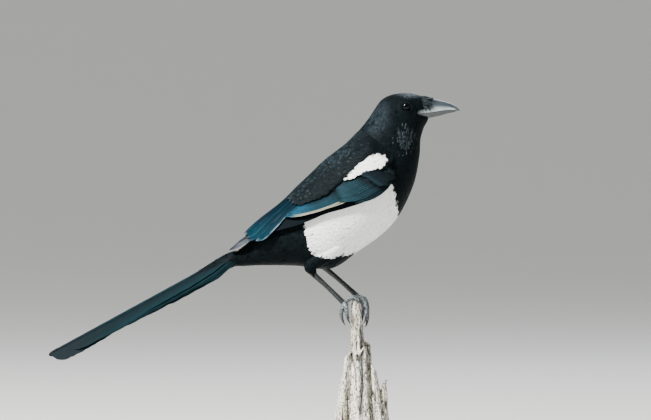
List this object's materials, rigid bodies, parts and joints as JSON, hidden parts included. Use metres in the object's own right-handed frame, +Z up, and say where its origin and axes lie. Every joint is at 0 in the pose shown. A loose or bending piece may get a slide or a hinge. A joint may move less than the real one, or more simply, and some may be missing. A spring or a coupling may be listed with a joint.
{
  "type": "eurasian magpie specimen",
  "caption": "Life-size magpie with folded wings and a long graduated tail, gripping a splintered stub of weathered wood on a plain round stand.",
  "frame": {"origin": "centre of the stand base's underside, at floor level", "axes": "+Z up, +X the way the bird faces, along its length towards the bill, +Y to the bird's left"},
  "size_m": [0.3831, 0.16, 0.3342],
  "materials": {
    "black_plumage": "black contour feathers, parts of them white in the render",
    "wing_gloss": "flight feathers with a blue-green gloss",
    "tail_gloss": "tail feathers with a green gloss",
    "bill_horn": "black horn, semi-gloss",
    "eye": "wet, very dark brown",
    "leg_scale": "dark scaly skin",
    "claw_horn": "black horn",
    "weathered_wood": "bleached, split and splintered",
    "stand_steel": "satin",
    "stand_wood": "dark stained, satin"
  },
  "bodies": {
    "root": {"head": "black_plumage", "neck": "black_plumage", "torso": "black_plumage", "tail": "tail_gloss", "bill_upper": "bill_horn", "bill_lower": "bill_horn", "eye_left": "eye", "eye_right": "eye", "wing_left": "wing_gloss", "wing_right": "wing_gloss", "thigh_left": "black_plumage", "thigh_right": "black_plumage", "shank_left": "leg_scale", "shank_right": "leg_scale", "foot_left": "leg_scale", "foot_right": "leg_scale", "claw_hind_left": "claw_horn", "claw_inner_left": "claw_horn", "claw_middle_left": "claw_horn", "claw_outer_left": "claw_horn", "claw_hind_right": "claw_horn", "claw_inner_right": "claw_horn", "claw_middle_right": "claw_horn", "claw_outer_right": "claw_horn", "perch": "weathered_wood", "stand_rod": "stand_steel", "stand_base": "stand_wood"}
  },
  "joints": []
}
